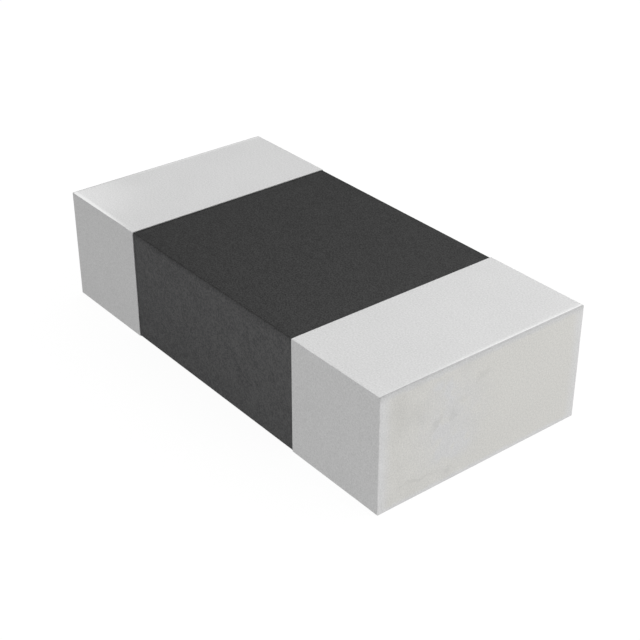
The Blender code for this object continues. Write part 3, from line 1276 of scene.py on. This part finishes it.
# A thin dark line of painted shadow on the coat beside the left cap's rim
rim_shadow = add_node(
    tree,
    "ShaderNodeMapRange",
    {0: place_axes["X"], 1: -cap_rim, 2: RIM_SHADOW_WIDTH - cap_rim, 3: -RIM_SHADOW_LOSS, 4: 0.0},
    interpolation_type="SMOOTHSTEP",
)
tone = textured
for change in (drift, rim_shadow, edge):
    tone = add_node(tree, "ShaderNodeMath", {0: tone, 1: change}, operation="ADD")
print("the caps' rims are", round(2 * cap_rim / MM, 3), "mm apart")

# %% Dark glass: colour, roughness and bump
GLASS_GRAIN_HEIGHT = 0.0004 * MM
GLASS_SWIRL_HEIGHT = 0.0004 * MM
GLASS_ROUGHNESS = (0.62, 0.82)

pressed_colour = add_node(
    tree,
    "ShaderNodeMix",
    {0: tone, 6: linear("#030303"), 7: linear("#313131")},
    data_type="RGBA",
).outputs[2]
sawn_colour = add_node(
    tree,
    "ShaderNodeMix",
    {0: tone, 6: linear("#303031"), 7: linear("#494949")},
    data_type="RGBA",
).outputs[2]
colour = add_node(
    tree, "ShaderNodeMix", {0: sawn, 6: pressed_colour, 7: sawn_colour}, data_type="RGBA"
).outputs[2]
fine_bump = add_node(tree, "ShaderNodeBump", {"Distance": GLASS_GRAIN_HEIGHT, "Height": grain})
bump = add_node(
    tree,
    "ShaderNodeBump",
    {"Distance": GLASS_SWIRL_HEIGHT, "Height": swirl, "Normal": fine_bump},
)
finish_material(dark_glass, colour, bump, grain, GLASS_ROUGHNESS)

# %% [markdown]
# ## The ceramic under the glass
# The bar is a fired mixture of manganese, nickel and cobalt oxides. It is nearly black with a touch
# of brown and has no shine of its own. Grains of about a hundredth of a millimetre and small dark
# pores show on it. Voronoi cells make both: each cell is one grain with its own tone, and the
# points nearest a cell's centre, in a wider pattern, are pores.

# %% Oxide ceramic: grains and pores
CERAMIC_GRAIN = 0.012 * MM
CERAMIC_PORE_SPACING = 0.045 * MM
CERAMIC_PORE_EDGE = (0.16, 0.24)

oxide_ceramic, tree, place = start_material(
    "sintered_manganese_nickel_oxide", {"Metallic": 0.0}
)
grains = add_node(tree, "ShaderNodeTexVoronoi", {"Vector": place, "Scale": 1 / CERAMIC_GRAIN})
pores = add_node(
    tree, "ShaderNodeTexVoronoi", {"Vector": place, "Scale": 1 / CERAMIC_PORE_SPACING}
)
in_pore = add_node(
    tree,
    "ShaderNodeMapRange",
    {
        "Value": pores.outputs["Distance"],
        "From Min": CERAMIC_PORE_EDGE[0],
        "From Max": CERAMIC_PORE_EDGE[1],
        "To Min": 1.0,
        "To Max": 0.0,
    },
)
grain_value = add_node(tree, "ShaderNodeSeparateColor", {0: grains.outputs["Color"]})
print("a ceramic grain is", round(CERAMIC_GRAIN / MM, 3), "mm across")

# %% Oxide ceramic: colour, roughness and bump
CERAMIC_GRAIN_HEIGHT = 0.0006 * MM
CERAMIC_PORE_DEPTH = 0.0020 * MM
CERAMIC_ROUGHNESS = (0.66, 0.84)

body_colour = add_node(
    tree,
    "ShaderNodeMix",
    {0: grain_value, 6: linear("#262524"), 7: linear("#3A3836")},
    data_type="RGBA",
).outputs[2]
colour = add_node(
    tree, "ShaderNodeMix", {0: in_pore, 6: body_colour, 7: linear("#141312")}, data_type="RGBA"
).outputs[2]
grain_bump = add_node(
    tree,
    "ShaderNodeBump",
    {"Distance": CERAMIC_GRAIN_HEIGHT, "Height": grains.outputs["Distance"]},
    invert=True,
)
bump = add_node(
    tree,
    "ShaderNodeBump",
    {"Distance": CERAMIC_PORE_DEPTH, "Height": in_pore, "Normal": grain_bump},
    invert=True,
)
finish_material(oxide_ceramic, colour, bump, grain_value, CERAMIC_ROUGHNESS)

# %% [markdown]
# ## Silver-palladium electrodes
# The sheets inside are printed through a fine screen as a metal paste and fired together with the
# ceramic. The screen leaves a faint grid, and ceramic grains that push through leave small dark
# pinholes. Blender's Wave texture repeats every 2 pi / 20 of its Scale, hence the odd number.

# %% Silver-palladium: screen, grain and pinholes
SCREEN_PITCH = 0.055 * MM
WAVE_REPEAT = 2 * math.pi / 20
PRINT_GRAIN = 0.009 * MM
PINHOLE_SPACING = 0.06 * MM
PINHOLE_EDGE = (0.10, 0.14)

electrode_metal, tree, place = start_material("printed_silver_palladium", {"Metallic": 1.0})
weft, warp = [
    add_node(
        tree,
        "ShaderNodeTexWave",
        {"Vector": place, "Scale": WAVE_REPEAT / SCREEN_PITCH},
        bands_direction=axis,
    )
    for axis in "XY"
]
screen = add_node(
    tree,
    "ShaderNodeMath",
    {0: weft.outputs["Fac"], 1: warp.outputs["Fac"]},
    operation="MULTIPLY",
)
grain = add_node(
    tree, "ShaderNodeTexNoise", {"Vector": place, "Scale": 1 / PRINT_GRAIN, "Detail": 2.0}
)
holes = add_node(tree, "ShaderNodeTexVoronoi", {"Vector": place, "Scale": 1 / PINHOLE_SPACING})
pinhole = add_node(
    tree,
    "ShaderNodeMapRange",
    {
        "Value": holes.outputs["Distance"],
        "From Min": PINHOLE_EDGE[0],
        "From Max": PINHOLE_EDGE[1],
        "To Min": 1.0,
        "To Max": 0.0,
    },
)
print("the screen's lines are", round(SCREEN_PITCH / MM, 3), "mm apart")

# %% Silver-palladium: colour, roughness and bump
SCREEN_HEIGHT = 0.0004 * MM
PRINT_ROUGHNESS = (0.36, 0.54)

metal_colour = add_node(
    tree,
    "ShaderNodeMix",
    {0: grain, 6: linear("#BDBBB7"), 7: linear("#D9D7D4")},
    data_type="RGBA",
).outputs[2]
colour = add_node(
    tree, "ShaderNodeMix", {0: pinhole, 6: metal_colour, 7: linear("#5A5753")}, data_type="RGBA"
).outputs[2]
bump = add_node(tree, "ShaderNodeBump", {"Distance": SCREEN_HEIGHT, "Height": screen})
finish_material(electrode_metal, colour, bump, grain, PRINT_ROUGHNESS)

# %% [markdown]
# ## Fired silver
# Each end is dipped in a paste of silver flakes and ground glass, then fired. The flakes sinter to
# a soft, whitish metal, rough as it came from the dip, with dark flecks where glass reached the
# surface.

# %% Fired silver
SILVER_FLAKE = 0.010 * MM
SILVER_HEIGHT = 0.0009 * MM
SILVER_ROUGHNESS = (0.50, 0.72)
FLECK_SIZE = 0.028 * MM
FLECK_EDGE = (0.62, 0.68)

fired_silver, tree, place = start_material("fired_silver_and_glass", {"Metallic": 1.0})
flakes = add_node(
    tree,
    "ShaderNodeTexNoise",
    {"Vector": place, "Scale": 1 / SILVER_FLAKE, "Detail": 3.0, "Roughness": 0.6},
)
flecks = add_node(
    tree, "ShaderNodeTexNoise", {"Vector": place, "Scale": 1 / FLECK_SIZE, "Detail": 2.0}
)
glass_fleck = add_node(
    tree,
    "ShaderNodeMapRange",
    {"Value": flecks, "From Min": FLECK_EDGE[0], "From Max": FLECK_EDGE[1]},
)
silver_colour = add_node(
    tree,
    "ShaderNodeMix",
    {0: flakes, 6: linear("#CDCBC6"), 7: linear("#EDECE9")},
    data_type="RGBA",
).outputs[2]
colour = add_node(
    tree,
    "ShaderNodeMix",
    {0: glass_fleck, 6: silver_colour, 7: linear("#8E8B84")},
    data_type="RGBA",
).outputs[2]
bump = add_node(tree, "ShaderNodeBump", {"Distance": SILVER_HEIGHT, "Height": flakes})
finish_material(fired_silver, colour, bump, flakes, SILVER_ROUGHNESS)

# %% [markdown]
# ## Plated nickel
# Nickel is plated over the silver to keep solder away from it. It is a little yellower than tin and
# smoother, built of low round nodules. Smooth Voronoi cells give such nodules.

# %% Nickel
NICKEL_NODULE = 0.010 * MM
NICKEL_HEIGHT = 0.0003 * MM
NICKEL_CLOUD = 0.20 * MM
NODULE_LOSS = 0.5
NICKEL_ROUGHNESS = (0.30, 0.46)

nickel, tree, place = start_material("plated_nickel", {"Metallic": 1.0})
nodules = add_node(
    tree,
    "ShaderNodeTexVoronoi",
    {"Vector": place, "Scale": 1 / NICKEL_NODULE, "Smoothness": 0.8},
    feature="SMOOTH_F1",
)
cloud = add_node(
    tree, "ShaderNodeTexNoise", {"Vector": place, "Scale": 1 / NICKEL_CLOUD, "Detail": 3.0}
)
tone = add_node(
    tree,
    "ShaderNodeMath",
    {0: nodules.outputs["Distance"], 1: -NODULE_LOSS, 2: cloud},
    operation="MULTIPLY_ADD",
)
colour = add_node(
    tree,
    "ShaderNodeMix",
    {0: tone, 6: linear("#B2AFA7"), 7: linear("#D6D3CC")},
    data_type="RGBA",
).outputs[2]
bump = add_node(
    tree,
    "ShaderNodeBump",
    {"Distance": NICKEL_HEIGHT, "Height": nodules.outputs["Distance"]},
    invert=True,
)
finish_material(nickel, colour, bump, cloud, NICKEL_ROUGHNESS)

# %% [markdown]
# ## Dress the layers
# The record names a material slot for every node of the CAD model, so a short loop can dress them
# all. Most layers are hidden here. They are finished all the same, so that the part can be opened
# up or cut in half in another scene.

# %% Dress the CAD nodes
FINISHES = {
    "oxide_ceramic": oxide_ceramic,
    "electrode_metal": electrode_metal,
    "dark_glass": dark_glass,
    "fired_silver": fired_silver,
    "nickel": nickel,
    "matte_tin": matte_tin,
}
for part in frame["record"]["subparts"]:
    mesh = frame["nodes"][part["node"]].data
    mesh.materials.clear()
    mesh.materials.append(FINISHES[part["material_slot"]])

# %% [markdown]
# ## The three pieces that show
# Each piece is an empty object with the wall tree on it as a modifier. The modifier's inputs are
# set by each socket's identifier. The result is then copied to a plain mesh, and the modifier goes.

# %% Make a wall
def make_wall(name, material, values):
    """A piece made by the wall tree, as a plain mesh."""
    piece = bpy.data.objects.new(name, bpy.data.meshes.new(name))
    bpy.context.scene.collection.objects.link(piece)
    modifier = piece.modifiers.new("wall", "NODES")
    modifier.node_group = wall
    for item in wall.interface.items_tree:
        if item.in_out == "INPUT" and item.name in values:
            modifier[item.identifier] = values[item.name]
        elif item.name == "Material":
            modifier[item.identifier] = material
    seen_by_blender = piece.evaluated_get(bpy.context.evaluated_depsgraph_get())
    mesh = bpy.data.meshes.new_from_object(seen_by_blender)
    mesh.name = name
    piece.modifiers.remove(modifier)
    piece.data = mesh
    mesh.calc_loop_triangles()
    print(name, "has", len(mesh.loop_triangles), "triangles")
    return piece


# %% Glass sleeve
glass_low, glass_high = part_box("glass_coat")
sleeve = make_wall(
    "glazed_sleeve",
    dark_glass,
    {
        "Low Corner": glass_low,
        "High Corner": glass_high,
        "End Wall": 0.0,
        "Thickness On Sides": 0.019 * MM,
        "Thickness On End": 0.0,
        "Edge Radius": 0.010 * MM,
        "End Radius": 0.010 * MM,
        "Blend Length": 0.1 * MM,
        "Shoulder Width": 0.05 * MM,
        "Shoulder Drop": 0.0005 * MM,
        "Relief Depth": 0.0006 * MM,
        "Relief Width": 0.12 * MM,
        "Relief Seed": 3.0,
        "Cell Size": 0.016 * MM,
        "Round Cells": 5.0,
        "Turn": (0.0, 0.0, 0.0),
    },
)
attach(sleeve, "root")
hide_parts("glass_coat")

# %% Tin caps
# Both caps come from the right plate's box, and the left one is turned half round. Each has its own
# relief seed.
tin_low, tin_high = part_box("tin_plate_right")
for side, turn, seed in (("right", 0.0, 5.0), ("left", math.pi, 8.0)):
    cap = make_wall(
        f"tin_cap_{side}",
        matte_tin,
        {
            "Low Corner": tin_low,
            "High Corner": tin_high,
            "End Wall": 1.0,
            "Thickness On Sides": 0.006 * MM,
            "Thickness On End": 0.006 * MM,
            "Edge Radius": 0.008 * MM,
            "End Radius": 0.007 * MM,
            "Blend Length": 0.08 * MM,
            "Shoulder Width": 0.04 * MM,
            "Shoulder Drop": 0.0008 * MM,
            "Relief Depth": 0.0006 * MM,
            "Relief Width": 0.09 * MM,
            "Relief Seed": seed,
            "Cell Size": 0.014 * MM,
            "Round Cells": 5.0,
            "Turn": (0.0, 0.0, turn),
        },
    )
    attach(cap, "root")
    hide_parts(f"tin_plate_{side}")
